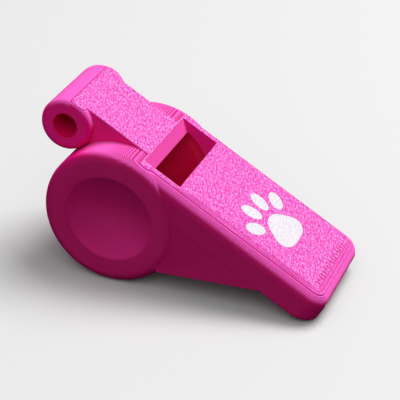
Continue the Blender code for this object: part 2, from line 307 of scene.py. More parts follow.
def mouthpiece_cut(height):
    """A bar whose mouth corners are quarter circles. The top and low edges draw in the sides and
    the mouth alike, and the lip draws in the mouth alone."""
    if not -MOUTH_HEIGHT < height < 0:
        return None
    top = drawn_in(TOP_FILLET, TOP_FILLET + height)
    low = drawn_in(LOW_FILLET, LOW_FILLET - MOUTH_HEIGHT - height)
    lip = drawn_in(LIP_FILLET, LIP_FILLET - MOUTH_HEIGHT - height)
    angle = np.linspace(0, np.pi / 2, CORNER_STEPS + 1)
    corner = np.stack([np.sin(angle), np.cos(angle)], axis=1) * (MOUTH_CORNER - top - low)
    corner += np.array([MOUTH + low - lip, HALF_MOUTH]) - MOUTH_CORNER
    return closed(np.concatenate([[(0, HALF_MOUTH - top - low)], corner]))


print(f"its first layer ends at x = {mouthpiece_cut(heights[0])[:, 0].max():.2f}")

# %% [markdown]
# The rest of the body, and the hollows cut from it, are flat-sided, so each is a rectangle at
# every height: the belly runs back to the drum, the web is closed below by the line between the
# two axes, the ramp leads down to the blade, and the windway narrows from the mouth to the jet
# that faces the blade.

# %% The cuts through the belly, the web and the bore
def belly_cut(height):
    """From the drum to BELLY, and below the mouthpiece to the line from there to the foot."""
    if not foot[1] < height < -MOUTH_HEIGHT / 2:
        return None
    slope = (foot[0] - BELLY) / (foot[1] + MOUTH_HEIGHT)
    return slab(0, BELLY + slope * min(height + MOUTH_HEIGHT, 0), HALF_MOUTH)


def web_cut(height):
    """From the line between the barrel's axis and the drum's, or above it from the barrel."""
    if height <= drum_depth:
        return None
    share = np.clip((barrel_depth - height) / (barrel_depth - drum_depth), 0, 1)
    return slab(barrel_x * (1 - share), 0, HALF_WEB)


def bore_cut(height):
    """The bore's chord, sqrt(radius^2 - h^2) to both sides of the barrel's axis."""
    rise = abs(height - barrel_depth)
    if rise >= BORE_RADIUS:
        return None
    half = np.sqrt(BORE_RADIUS**2 - rise**2)
    return slab(barrel_x - half, barrel_x + half, HALF_BARREL + PAST)


print("layers with the bore:", sum(bore_cut(height) is not None for height in heights))

# %% The cuts for the window and the windway
def window_cut(height):
    """From the ramp, which leads straight down to the blade, to the window's far side, and on
    down into the chamber."""
    if height <= -DRUM_RADIUS / 2:
        return None
    ramp = min(-height / BLADE[1], 1)
    return slab(WINDOW[0] + (BLADE[0] - WINDOW[0]) * ramp, WINDOW[1], HALF_WINDOW)


def windway_cut(height):
    """Where the depth lies between the roof's straight line and the floor's."""
    run = MOUTH - WINDOW[1]
    roof_end, floor_start = (
        WINDOW[1] + run * (-height - jet) / (mouth - jet) for jet, mouth in zip(JET, WINDWAY)
    )
    start = max(floor_start, (BLADE[0] + WINDOW[1]) / 2)
    end = min(roof_end, MOUTH + PAST)
    return slab(start, end, HALF_WINDOW) if start < end else None


print("layers with the windway:", sum(windway_cut(height) is not None for height in heights))

# %% [markdown]
# ## The paw print
#
# The white paw print lies flush in the first layers. Its pad is an ellipse with three shallow
# lobes, and its toes are ellipses that point away from it. Each has a formula, so the pocket
# round it is the same curve moved out a little.

# %% Paw outlines
PAD = (5.6, 7.6)
PAD_LOBES = 0.1
TOE = (3.6, 2.4)
TOE_GAP = 1.3
TOE_SPREAD = np.radians(34)
INLAY_DEPTH = 0.4
SMALL_TURN = 0.01
toe_reach = PAD[0] / 2 + TOE_GAP + TOE[0] / 2
pad_x = (WINDOW[1] + MOUTH) / 2 + (toe_reach + TOE[0] / 2 - PAD[0] / 2) / 2


def pad_outline(grow, number=72):
    """x and y run round an ellipse times 1 + lobes * cos(3 * angle), moved out along the
    normals by grow."""
    angle = np.linspace(0, 2 * np.pi, number, endpoint=False)

    def at(a):
        swell = 1 + PAD_LOBES * np.cos(3 * a)
        return np.stack([-PAD[0] * swell * np.cos(a), -PAD[1] * swell * np.sin(a)], axis=1) / 2

    along = at(angle + SMALL_TURN) - at(angle - SMALL_TURN)
    along /= np.linalg.norm(along, axis=1, keepdims=True)
    return at(angle) + grow * np.stack([along[:, 1], -along[:, 0]], axis=1) + (pad_x, 0)


def toe_outline(turn, grow, number=48):
    """An ellipse round a point toe_reach from the middle of the pad, turned to face it."""
    angle = np.linspace(0, 2 * np.pi, number, endpoint=False)
    out = toe_reach + (TOE[0] / 2 + grow) * np.cos(angle)
    aside = (TOE[1] / 2 + grow) * np.sin(angle)
    x = pad_x - out * np.cos(turn) - aside * np.sin(turn)
    y = out * np.sin(turn) - aside * np.cos(turn)
    return np.stack([x, y], axis=1)


def paw_outlines(grow):
    """The pad, and four toes at -1.5, -0.5, 0.5 and 1.5 times the spread."""
    toes = {f"toe_{i + 1}": toe_outline((i - 1.5) * TOE_SPREAD, grow) for i in range(4)}
    return {"pad": pad_outline(grow), **toes}


print(f"paw print round x = {pad_x:.2f} mm")

# %% [markdown]
# ## Cutting and stacking
#
# At each height the body is every added outline less every cut one. Boolean modifiers could join
# whole solids, but would leave no layers. Here a Delaunay triangulation splits the plane along
# all the outlines, and a triangle is plastic if its middle is. The edges with plastic on one
# side only are the layer's wall.

# %% Inside or outside, near or far
def inside(points, walls):
    """For each point, whether a ray from it along +x crosses the walls an odd number of times."""
    x, y = points[:, :1], points[:, 1:]
    (x0, y0), (x1, y1) = walls[0].T, walls[1].T
    crosses = (y0 > y) != (y1 > y)
    rise = np.where(y0 == y1, 1, y1 - y0)
    return (crosses & (x < x0 + (y - y0) / rise * (x1 - x0))).sum(axis=1) % 2 == 1


def distance(points, walls):
    """From each point to the nearest wall, where a wall's nearest place is the foot of the plumb
    line on it, kept between its ends."""
    start, run = walls[0], walls[1] - walls[0]
    to_start = points[:, None] - start
    share = np.clip((to_start * run).sum(axis=2) / (run**2).sum(axis=1), 0, 1)
    return np.linalg.norm(to_start - share[:, :, None] * run, axis=2).min(axis=1)


def walls_of(outline):
    """An outline's edges, as their starts and their ends."""
    return np.stack([outline, np.roll(outline, -1, axis=0)])


paw_walls = walls_of(pad_outline(0))
print("pad's middle inside:", inside(np.array([[pad_x, 0]]), paw_walls)[0])

# %% Triangles between walls
TOUCHING = 1e-5
NO_RELIEF = (np.zeros((0, 3)), np.zeros((0, 2), int))


def triangulated(walls, relief=NO_RELIEF):
    """Points, anticlockwise triangles, and for each wall the points that lie along it. The
    relief is points with heights of their own, and pairs of them to join."""
    number = walls.shape[1]
    loose, joined = relief
    corners = [Vector(corner) for corner in np.concatenate([walls.reshape(-1, 2), loose[:, :2]])]
    pairs = [(i, i + number) for i in range(number)] + (joined + 2 * number).tolist()
    found = delaunay_2d_cdt(corners, pairs, [], 0, TOUCHING, True)
    points = np.column_stack([np.array(found[0]), np.zeros(len(found[0]))])
    for point, sources in enumerate(found[3]):
        if sources and min(sources) >= 2 * number:
            points[point, 2] = loose[min(sources) - 2 * number, 2]
    triangles = np.array(found[2])
    a, b, c = (points[triangles[:, i], :2] for i in range(3))
    turn = (b - a)[:, 0] * (c - a)[:, 1] - (b - a)[:, 1] * (c - a)[:, 0]
    triangles[turn < 0] = triangles[turn < 0][:, ::-1]
    along = [set() for _ in pairs]
    for edge, sources in zip(found[1], found[4]):
        for source in sources:
            along[source].update(edge)
    return points, triangles, along


def in_order(points, walls, along):
    """For each wall, the points that lie along it, from its start to its end."""
    ordered = []
    for start, end, members in zip(*walls, along):
        members = np.array(list(members), int)
        ordered.append(members[np.argsort(points[members, :2] @ (end - start))])
    return ordered


print(f"the pad splits into {len(triangulated(paw_walls)[1])} triangles")

# %% The walls of a layer
def layer_walls(added, cut):
    """The edges between plastic and air, with the plastic on their left."""
    added = [walls_of(outline) for outline in added if outline is not None]
    cut = [walls_of(outline) for outline in cut if outline is not None]
    points, triangles, _ = triangulated(np.concatenate(added + cut, axis=1))
    points = points[:, :2]
    middles = points[triangles].mean(axis=1)
    plastic = np.any([inside(middles, walls) for walls in added], axis=0)
    for walls in cut:
        plastic &= ~inside(middles, walls)
    sides = triangles[plastic][:, [0, 1, 1, 2, 2, 0]].reshape(-1, 2)
    forwards = sides @ (len(points), 1)
    backwards = sides @ (1, len(points))
    border = sides[~np.isin(forwards, backwards)]
    return np.stack([points[border[:, 0]], points[border[:, 1]]])


pocketed = layer_walls([slab(WINDOW[1], MOUTH, HALF_MOUTH)], [pad_outline(0)])
print(f"a bar with the pad cut out has {pocketed.shape[1]} walls")

# %% [markdown]
# Between two layers, the plane is triangulated once more with the walls of both. A triangle
# that is plastic below and air above is a step that faces up, and the reverse faces down. The
# points that this puts along each wall become the wall's own corners, above and below, so steps
# and walls share their edges and the finished mesh is closed.
#
# A printed line is a rounded bead, so the wall bulges at its middle height and is drawn in where
# two layers meet, with a fold along its foot. The first layer was pressed down and bulges most.

# %% Walls moved sideways
DECIMALS = 5


def moved(walls, by):
    """The corners of a layer's walls moved outwards, and for each wall the numbers of its two
    corners. At a corner between walls with the normals m and n, a move of 2 (m + n) / |m + n|^2
    stands off both walls by one."""
    run = walls[1] - walls[0]
    run /= np.linalg.norm(run, axis=1, keepdims=True)
    outwards = np.stack([run[:, 1], -run[:, 0]], axis=1)
    spots = np.round(walls.reshape(-1, 2), DECIMALS)
    corners, number = np.unique(spots, axis=0, return_inverse=True)
    number = number.reshape(2, -1)
    total = np.zeros_like(corners)
    np.add.at(total, number, outwards)
    size = np.maximum((total**2).sum(axis=1, keepdims=True), 1)
    return corners + by * 2 * total / size, number


def inset(walls, by):
    """The walls moved inwards."""
    corners, number = moved(walls, -by)
    return corners[number]


print(f"moved in by 1 mm, the bar ends at x = {inset(pocketed, 1)[..., 0].max():.2f}")

# %% [markdown]
# The finish needs two things that a mesh doesn't say: how wide a face's ledge is, because wide
# ledges catch the light, and how far a point is sunk, because folds and grooves lie in shadow.
# Both are measured while the layers are stacked.

# %% Points and faces as they are collected
class Stack:
    """A piece's points and faces, how far each point is sunk and how wide each face's ledge is."""

    def __init__(self):
        self.points, self.sunk, self.faces, self.widths, self.total = [], [], [], [], 0

    def add_points(self, points, sunk):
        """Adds points and gives the number of the first."""
        self.points.append(points)
        self.sunk.append(sunk)
        self.total += len(points)
        return self.total - len(points)

    def add_faces(self, faces, widths):
        self.faces += faces
        self.widths.append(widths)


NOTHING = np.zeros((2, 0, 2))
WIDE = 1.0
ON_BED = 2 * WIDE


def open_width(points, walls, covered=False):
    """From each point to the nearest wall: WIDE without any, and 0 where a layer covers it."""
    if not walls.size or not len(points):
        return np.full(len(points), WIDE)
    return np.where(covered, 0, distance(points, walls))


print(f"ledges count as {WIDE:.0f} mm wide at most, the bed's face as {ON_BED:.0f} mm")

# %% The faces between two layers
INSET = 0.03
LEDGE_GAIN = 1.35
FOOT = 0.03
# A wall's foot on a wide ledge is marked as sunk by FOOT_MARK, which sets its painted shade.
FOOT_MARK = 0.07
MARKED_FROM = 0.11
MARKED_OVER = 0.1
GROOVE_FROM = 0.054


def add_level(stack, level, above, below, relief):
    """Adds the steps and ceilings at a level, and gives the points along the walls above and
    below. A ledge's width is LEDGE_GAIN times the sum of the distances to both walls. The foot
    of a wall on a wide ledge counts as sunk, and so do the deep parts of the bed's relief."""
    on_bed = above is NOTHING
    above = above if on_bed else inset(above, INSET)
    below = below if on_bed or below is NOTHING else inset(below, INSET)
    walls, number = np.concatenate([above, below], axis=1), above.shape[1]
    flat, triangles, along = triangulated(walls, relief if on_bed else NO_RELIEF)
    middles = flat[triangles, :2].mean(axis=1)
    over, under = inside(middles, above), inside(middles, below)
    ledges, ceilings, middles = under & ~over, over & ~under, middles[under & ~over]
    if on_bed:
        width = np.full(len(middles), ON_BED)
        sunk = np.where(flat[:, 2] < -GROOVE_FROM, -flat[:, 2], 0)
    else:
        width = open_width(middles, above) + open_width(middles, below)
        width = np.minimum(width * LEDGE_GAIN, WIDE)
        sunk = np.zeros(len(flat))
        feet = set().union(*along[:number]) - set().union(*along[number : walls.shape[1]])
        feet = np.array(sorted(feet), int)
        flat[feet, 2] = -FOOT
        if below.size and len(feet):
            ledge = open_width(flat[feet, :2], below, ~inside(flat[feet, :2], below))
            sunk[feet] = FOOT_MARK * np.clip((ledge - MARKED_FROM) / MARKED_OVER, 0, 1)
    first = stack.add_points(flat + (0, 0, level), sunk)
    faces = np.concatenate([triangles[ledges], triangles[ceilings][:, ::-1]]) + first
    stack.add_faces(faces.tolist(), np.concatenate([width, np.zeros(ceilings.sum())]))
    ordered = [(members + first).tolist() for members in in_order(flat, walls, along)]
    return ordered[:number], ordered[number:]


# %% The beads of a layer
BULGE = 0.01
FIRST_BULGE = 0.04


def add_beads(stack, walls, above, height, top, bottom):
    """Adds two faces along each wall, which meet at its bulged middle. Their width is that of
    the ledge over them."""
    corners, number = moved(walls, FIRST_BULGE if above is NOTHING else BULGE)
    spots = walls.mean(axis=0)
    ledge = open_width(spots, above, inside(spots, above))
    middles = np.column_stack([corners, np.full(len(corners), height)])
    number = number.T + stack.add_points(middles, np.zeros(len(corners)))
    for (start, end), high, low, width in zip(number.tolist(), top, bottom, ledge):
        if high and low:
            stack.add_faces([[start, end] + high[::-1], low + [end, start]], [width, width])


def stacked(levels, layers, relief=NO_RELIEF):
    """The stack of a layer between each level and the next, with the relief in its top face."""
    stack = Stack()
    above, below = [NOTHING] + layers, layers + [NOTHING]
    sides = [add_level(stack, *level, relief) for level in zip(levels, above, below)]
    bottoms, tops = zip(*sides)
    middles = (levels[1:] + levels[:-1]) / 2
    for layer in zip(layers, above, middles, tops[:-1], bottoms[1:]):
        add_beads(stack, *layer)
    return stack


slice_of_pad = stacked(levels[:2], [paw_walls])
print(f"one layer of the pad has {len(slice_of_pad.faces)} faces")

# %% A stack turned into an object
CREASE = np.radians(45)


def new_piece(name, stack, body):
    """A mesh object in the frame's place, shaded smooth up to the crease angle. What the finish
    needs is kept as attributes of its points and faces."""
    used = np.unique(np.concatenate([np.array(face) for face in stack.faces]))
    index = np.zeros(stack.total, int)
    index[used] = np.arange(len(used))
    points, sunk = np.concatenate(stack.points)[used], np.concatenate(stack.sunk)[used]
    faces, widths = [index[face].tolist() for face in stack.faces], np.concatenate(stack.widths)
    mesh = bpy.data.meshes.new(name)
    mesh.from_pydata(placed(points).tolist(), [], faces)
    mesh.attributes.new("sunk", "FLOAT", "POINT").data.foreach_set("value", sunk)
    mesh.attributes.new("ledge", "FLOAT", "FACE").data.foreach_set("value", widths)
    mesh.shade_smooth()
    mesh.set_sharp_from_angle(angle=CREASE)
    piece = bpy.data.objects.new(name, mesh)
    bpy.context.scene.collection.objects.link(piece)
    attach(piece, body)
    mesh.calc_loop_triangles()
    print(f"{name}: {len(mesh.loop_triangles)} triangles")
    return piece


# %% [markdown]
# ## The face that lay on the bed
#
# The first layer shows how it was laid: lines run round inside the mouthpiece's edge with
# grooves between them, and the lines that fill the rest turn back at the mouth in a comb of
# short slots. Between them the plastic has taken the bed's own grain. A bump map would only
# look so from above. Here grooves and slots are V-shaped folds in the topmost face, and the
# grain is a net of points whose heights follow smooth noise.

# %% Lines at a distance inside the walls
LINE_WIDTH = 0.53
GROOVE_WIDTH = 0.14
GROOVE_DEPTH = 0.06
TRUE_SHARE = 0.98


def parallel(walls, by):
    """Lines at a distance inside the walls. Moved walls cross where a corner is too tight, and
    the pieces past a crossing are left out, as they are nearer to the walls than the others."""
    lines = inset(walls, by)
    points, _, along = triangulated(lines)
    pieces = []
    for members in in_order(points, lines, along):
        pieces += zip(members[:-1], members[1:])
    pieces = points[np.array(pieces), :2]
    keep = distance(pieces.mean(axis=1), walls) > by * TRUE_SHARE
    return pieces[keep].transpose(1, 0, 2)


print(f"a line inside the pad has {parallel(paw_walls, LINE_WIDTH).shape[1]} pieces")

# %% Grain
GRAIN_CELL = 0.24
GRAIN_HEIGHT = 0.05
CELLS = 256
random = np.random.default_rng(7)
lattice = random.random((CELLS, CELLS))


def grain(x, y):
    """Random heights on a square lattice, blended between its corners by 3 t^2 - 2 t^3."""
    column, row = np.floor(x / GRAIN_CELL).astype(int), np.floor(y / GRAIN_CELL).astype(int)
    s, t = x / GRAIN_CELL - column, y / GRAIN_CELL - row
    s, t = s * s * (3 - 2 * s), t * t * (3 - 2 * t)

    def along(row):
        left, right = (lattice[row % CELLS, c % CELLS] for c in (column, column + 1))
        return left * (1 - s) + right * s

    return along(row) * (1 - t) + along(row + 1) * t


print(f"grain up to {(1 - lattice.min()) * GRAIN_HEIGHT:.3f} mm deep")

# %% A net of points
NET = 0.19
ROW = 0.87
WALL_CLEARANCE = NET / 2


def hexagonal_net(walls):
    """Points inside the walls, in rows NET * ROW apart, with every other row half a step on."""
    low, high = walls.min(axis=(0, 1)), walls.max(axis=(0, 1))
    x, y = np.meshgrid(np.arange(low[0], high[0], NET), np.arange(low[1], high[1], NET * ROW))
    x = x + NET / 2 * (np.arange(len(x)) % 2)[:, None]
    net = np.stack([x.ravel(), y.ravel()], axis=1)
    net = net[inside(net, walls)]
    return net[distance(net, walls) > WALL_CLEARANCE]


print(f"{len(hexagonal_net(paw_walls))} points in the pad")

# %% Relief of the first layer
LINE_CLEARANCE = NET / 2.5
COMB = (30.25, 31.15)
COMB_WIDTH = 0.26
COMB_DEPTH = 0.1
COMB_TAPER = 0.06
COMB_PITCH = 0.81
COMB_REACH = 6.1
comb_rows = np.arange(-COMB_REACH, COMB_REACH, COMB_PITCH)
NEAR_EDGE = -7
MOUTH_END = MOUTH - 4


def grooved(x, y):
    """Along the near edge of the mouthpiece and across its mouth."""
    return (y < NEAR_EDGE) & (x > WINDOW[1]) | (x > MOUTH_END)


def fold(depth):
    """A V-shaped fold's edge, bottom and other edge, as shares of its width and as depths."""
    return (-0.5, 0), (0, depth), (0.5, 0)


def plate_relief(walls, rows=np.zeros(0), grooved=None):
    """Points with heights, and edges between them, for a face of the first layer. Grooves
    follow the walls that `grooved` picks, and a slot of the comb lies at each row."""
    parts = []
    for number in (1, 2) if grooved else ():
        for side, depth in fold(GROOVE_DEPTH):
            line = parallel(walls, number * LINE_WIDTH + side * GROOVE_WIDTH)
            parts.append((line[:, grooved(*line.mean(axis=0).T)], depth))
    for side, depth in fold(COMB_DEPTH):
        short = COMB_TAPER * (side == 0)
        ends = np.array([[COMB[0] + short], [COMB[1] - short]])
        slots = np.stack(np.broadcast_arrays(ends, rows + side * COMB_WIDTH), axis=2)
        parts.append((slots, depth))
    lines = np.concatenate([line for line, _ in parts], axis=1)
    net = hexagonal_net(walls)
    if lines.size:
        net = net[distance(net, lines) > LINE_CLEARANCE]
    height = (grain(*net.T) - 1) * GRAIN_HEIGHT
    ends = np.concatenate([line.transpose(1, 0, 2).reshape(-1, 2) for line, _ in parts])
    heights = np.concatenate([np.full(2 * line.shape[1], -depth) for line, depth in parts])
    points = np.column_stack([np.concatenate([ends, net]), np.concatenate([heights, height])])
    return points, np.arange(len(ends)).reshape(-1, 2)


print(f"a comb of {len(comb_rows)} slots, {COMB[1] - COMB[0]:.1f} mm long")

# %% [markdown]
# ## The body
#
# The real body is one print, so it is one piece here too: the drum, the barrel, the mouthpiece,
# the belly and the web are added at each height, and the hollows, the dishes and the paw's
# pockets are cut away.

# %% The body
POCKET_GAP = 0.03


def body_layer(height):
    """The walls at a height. The drum's axis and radius lose half the crown's drop each, so its
    bottom stays where it is."""
    added = [
        turned_cut(
            height, (0, drum_depth - CROWN_DROP / 2), HALF_DRUM, DRUM_RADIUS - CROWN_DROP / 2,
            DRUM_FILLET, DISH_RADIUS,
        ),
        turned_cut(
            height, (barrel_x, barrel_depth), HALF_BARREL, BARREL_RADIUS, BARREL_FILLET,
            steps=(0, 1, 5),
        ),
        mouthpiece_cut(height), belly_cut(height), web_cut(height),
    ]
    chamber = turned_cut(
        height, (0, drum_depth), HALF_DRUM - SIDE_WALL, DRUM_RADIUS - DRUM_WALL, CHAMBER_FILLET,
        DISH_RADIUS, steps=(6, 1, 4),
    )
    cut = [chamber, bore_cut(height), window_cut(height), windway_cut(height)]
    cut += dish_cuts(height)
    if height > -INLAY_DEPTH:
        cut += paw_outlines(POCKET_GAP).values()
    return layer_walls(added, cut)


layers = [body_layer(height) for height in heights]
solid = stacked(levels, layers, plate_relief(layers[0], comb_rows, grooved))
body = new_piece("printed_body", solid, "whistle")
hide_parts("whistle_body")

# %% [markdown]
# ## The inlay and the pea
#
# The paw print's pad and toes are three layers of white plastic, printed in the same passes as
# the pink round them. The pea is printed loose inside the drum. They could be plain solids, but
# they have layers too, so they are stacked as the body is.

# %% Inlay
inlay_heights = heights[heights > -INLAY_DEPTH]
inlay_levels = levels[: len(inlay_heights) + 1]
for name, outline in paw_outlines(0).items():
    walls = walls_of(outline)
    solid = stacked(inlay_levels, [walls] * len(inlay_heights), plate_relief(walls))
    piece = new_piece(f"printed_{name}", solid, "whistle")
    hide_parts(f"inlay_{name}")

# %% Pea
PEA_SIDES = 60
low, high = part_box("pea")
pea_centre = axes.T @ (np.array((low + high) / 2) / MM - origin)
pea_radius = PEA_DIAMETER / 2
ring = np.linspace(0, 2 * np.pi, PEA_SIDES, endpoint=False)
circle = np.stack([np.cos(ring), np.sin(ring)], axis=1)
inside_pea = abs(heights - pea_centre[2]) < pea_radius
first, last = np.flatnonzero(inside_pea)[[0, -1]]
rises = heights[first : last + 1] - pea_centre[2]
rings = [circle * np.sqrt(pea_radius**2 - rise**2) + pea_centre[:2] for rise in rises]
solid = stacked(levels[first : last + 2], [walls_of(outline) for outline in rings])
pea = new_piece("printed_pea", solid, "pea")
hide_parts("pea")
print(f"{len(rings)} layers round {np.round(pea_centre, 2)}")

# %% [markdown]
# ## Materials in plain arithmetic
#
# A material is a sum over the surface, which is hard to see when it is wired by hand. Here a
# Field wraps one output of a node, and + - * / and comparisons on it add the Math nodes, so the
# sum can be read. Every other node comes from one method.

# %% Fields
class Field:
    """One output of a node; arithmetic on it makes Math nodes."""

    def __init__(self, finish, socket):
        self.finish, self.socket = finish, socket

    def math(self, operation, *values):
        """A Math node on the values. Those that are plain numbers are set on its sockets."""
        return self.finish.node("Math", {"operation": operation}, dict(enumerate(values)))

    def __add__(self, other):
        return self.math("ADD", self, other)

    def __sub__(self, other):
        return self.math("SUBTRACT", self, other)

    def __rsub__(self, other):
        return self.math("SUBTRACT", other, self)

    def __mul__(self, other):
        return self.math("MULTIPLY", self, other)

    def __truediv__(self, other):
        return self.math("DIVIDE", self, other)

    def __rtruediv__(self, other):
        return self.math("DIVIDE", other, self)

    def __gt__(self, other):
        return self.math("GREATER_THAN", self, other)

    def __lt__(self, other):
        return self.math("LESS_THAN", self, other)

    __radd__, __rmul__ = __add__, __mul__

    def root(self):
        """The square root."""
        return self.math("SQRT", self)

    def size(self):
        """The value without its sign."""
        return self.math("ABSOLUTE", self)

    def share(self, full):
        """The value as a share of full, kept between 0 and 1."""
        return self.math("MINIMUM", self.math("MAXIMUM", self / full, 0), 1)


# %% Finishes
class Finish:
    """A material whose nodes are made one call at a time."""

    def __init__(self, name):
        self.material = bpy.data.materials.new(name)
        self.material.use_nodes = True
        self.tree = self.material.node_tree
        self.tree.nodes.clear()

    def node(self, kind, settings=None, inputs=None, output=0):
        """Adds a node of any type: its settings first, then its sockets' values or links."""
        made = self.tree.nodes.new("ShaderNode" + kind)
        for name, value in (settings or {}).items():
            setattr(made, name, value)
        for name, value in (inputs or {}).items():
            if isinstance(value, Field):
                self.tree.links.new(value.socket, made.inputs[name])
            else:
                made.inputs[name].default_value = value
        return Field(self, made.outputs[output])

    def shade_with(self, shader):
        """Ends the material in its shader."""
        output = self.tree.nodes.new("ShaderNodeOutputMaterial")
        self.tree.links.new(shader.socket, output.inputs["Surface"])

    def place(self):
        """The whistle's own x, y and z in millimetres, from the object's coordinates."""
        turn = Matrix(axes.T.tolist())
        return self.node("Mapping", {"vector_type": "POINT"}, {
            "Vector": self.node("TexCoord", output="Object"),
            "Location": turn @ Vector(-origin),
            "Rotation": turn.to_euler(),
            "Scale": (1 / MM, 1 / MM, 1 / MM),
        })


def mixed(first, second, share):
    """A colour between two, by a share that may vary. A plain colour gets an alpha of 1. In a
    Mix node, the sockets 6 and 7 and the output 2 are the ones for colours."""
    first, second = ((*c, 1) if isinstance(c, tuple) else c for c in (first, second))
    inputs = {"Factor": share, 6: first, 7: second}
    return share.finish.node("Mix", {"data_type": "RGBA"}, inputs, output=2)


trial = Finish("trial")
(1 - trial.place()).share(3)
print(f"(1 - place).share(3) makes {len(trial.tree.nodes)} nodes")
bpy.data.materials.remove(trial.material)

# %% [markdown]
# ## Where on the whistle
#
# Bright plastic isn't of one colour, and here its colour also carries painted light and shade:
# the upright walls are darker, ledges and the window's sides paler, the dishes and the belly's
# edge glow, the plastic between the drum's sides and in the hollows is a brighter red, and the
# grooves are darker. Such zones could be drawn in an image, but their borders follow sizes
# already named, so they are worked out from the object's coordinates.

# %% Zones of the whistle
# A hollow's colour reaches a margin past its wall, so that the wall itself has it.
CHAMBER_MARGIN = 0.03
BORE_MARGIN = 0.15
WINDOW_MARGIN = 0.02
SHELTER_END = WINDOW[1] + 1
BARREL_BACK = barrel_x - 1


class Zones:
    """Where a point lies, as lengths in millimetres and as masks that are 0 or 1."""

    def __init__(self, finish):
        self.place = finish.place()
        x, y, z = self.x, self.y, self.z = [
            finish.node("SeparateXYZ", inputs={"Vector": self.place}, output=axis)
            for axis in "XYZ"
        ]
        self.width, self.sunk = (
            finish.node("Attribute", {"attribute_name": name}, output="Fac")
            for name in ("ledge", "sunk")
        )
        self.on_bed = (self.width > (WIDE + ON_BED) / 2) * (z > -FIRST_LAYER)
        self.first_foot = z > -FIRST_LAYER - LAYER / 2
        self.aside, self.rise = y.size(), z - drum_depth
        self.from_drum = (x * x + self.rise * self.rise).root()
        # The middle of the side wall is sunk in the dish by its depth times 1 - (r / radius)^2.
        dish = DISH_RADIUS**2
        sunk_side = (dish - self.from_drum * self.from_drum).share(dish) * DISH_DEPTH
        self.outer = self.aside > HALF_DRUM - SIDE_WALL / 2 - sunk_side
        between_sides = self.aside < HALF_WINDOW + WINDOW_MARGIN
        self.in_window = (x > WINDOW[0]) * (x < WINDOW[1]) * between_sides
        in_windway = (x > WINDOW[1]) * (z < -TOP_FILLET) * between_sides
        beyond_chamber = self.from_drum > DRUM_RADIUS - DRUM_WALL + CHAMBER_MARGIN
        along, fall = x - barrel_x, z - barrel_depth
        beyond_bore = (along * along + fall * fall).root() > BORE_RADIUS + BORE_MARGIN
        self.outside = beyond_chamber * beyond_bore * (1 - in_windway)


print(f"the chamber's colour ends {DRUM_RADIUS - DRUM_WALL + CHAMBER_MARGIN:.2f} mm out")

# %% Colour of the walls
DISH_FADE = 0.333
GLOW_TOP = 2.27
GLOW_FADE = 9.09


def wall_colour(at, colours):
    """The upright walls in a darker pink, which is painted shade, with a painted glow low in the
    dishes by their true height over the drum's axis, a brighter red between the drum's sides, and
    the deep red of the hollows. Both reds are painted bounce light."""
    height = at.rise * up[2] - at.x * up[0]
    in_dish = (DISH_RADIUS - at.from_drum).share(DISH_FADE) * at.outer
    low_side = (GLOW_TOP - height).share(GLOW_FADE)
    base = mixed(colours["wall"], colours["glow"], in_dish * low_side)
    base = mixed(base, colours["painted_bounce"], (1 - at.outer) * (at.x < SHELTER_END))
    return mixed(base, colours["deep"], (1 - at.outer) * (1 - at.outside))


print(f"full glow from {GLOW_FADE - GLOW_TOP:.1f} mm below the axis")

# %% Colour of the ledges and of the window's sides
TREAD_FROM = 0.07
TREAD_FADE = 0.06
BARREL_TREAD = 0.06
TREAD_LOSS = 0.3
LIT_MARGIN = 0.05
LIT_DEPTH = 2.5


def with_ledge_and_window_light(base, at, colours):
    """Painted light on wide ledges and the beads below them, in a paler pink, less so in the
    window and more so on the barrel's back, and painted light on the window's sides, fading out
    LIT_DEPTH below the top face."""
    extra = (at.x < BARREL_BACK) * BARREL_TREAD
    ledge = (at.width + extra - TREAD_FROM).share(TREAD_FADE) * at.outside
    base = mixed(base, colours["ledge_highlight"], ledge * (1 - at.in_window * TREAD_LOSS))
    side = at.in_window * (at.aside > HALF_WINDOW - LIT_MARGIN)
    return mixed(base, colours["lit"], side * (at.z + LIT_DEPTH).share(LIT_DEPTH))


print(f"full tread colour from {TREAD_FROM + TREAD_FADE:.2f} mm on")

# %% Colour along the belly
EDGE_REACH = 0.2
EDGE_GLOW = 0.6
HULL_REACH = 0.111
HULL_SHADE = 0.35
HULL_MARGIN = 0.1
HULL_START = foot[0] - 2
belly_slope = (foot[1] + MOUTH_HEIGHT) / (foot[0] - BELLY)


def with_belly_glow_and_shade(base, at, colours):
    """The belly's lower edge gets a painted glow, and the line between belly and mouthpiece gets
    painted shade. Both fade evenly to either side."""
    before_mouth = at.x < BELLY
    bottom = (at.x - BELLY) * belly_slope - MOUTH_HEIGHT
    edge = (EDGE_REACH - (at.z - bottom).size()).share(EDGE_REACH)
    edge = edge * (at.x > foot[0]) * before_mouth * at.outer
    base = mixed(base, colours["glow"], edge * EDGE_GLOW)
    hull = (HULL_REACH - (at.z + MOUTH_HEIGHT).size()).share(HULL_REACH)
    hull = hull * (at.x > HULL_START) * before_mouth * (at.aside > HALF_MOUTH - HULL_MARGIN)
    return mixed(base, (0, 0, 0), hull * HULL_SHADE)


print(f"belly slope {belly_slope:.3f}")

# %% [markdown]
# The face that lay on the bed is mottled with darker pits of its grain, and bright specks and a
# few fine sparks are painted glints on it. An image would repeat and blur. Two noises give it
# here: one drawn out along a slant, whose low and high values are the pits and specks, and a
# finer one for the sparks. Near the outer edges, where single lines were laid, the face is
# plainer.

# %% Colour of the bed's face
STREAK = (0.66, 0.29, 0.5)
STREAK_TURN = np.radians(110)
STREAK_DETAIL = 1.5
HALFWAY = 0.5
PIT_SPAN = 0.167
SPECK_SPAN = 0.2
SPARKLE = 0.3
SPARK_DETAIL = 1.0
SPARK_FROM = 0.6
SPARK_SPAN = 0.111
SPARK_SHARE = 0.8
PLAIN_EDGE = (31.1, -7.4)
PLAIN_FADE = 0.25
PLAIN_SHARE = 0.7


def noise(place, scale, detail):
    """Smooth noise in cells of 1 / scale."""
    inputs = {"Vector": place, "Scale": scale, "Detail": detail}
    return place.finish.node("TexNoise", inputs=inputs)


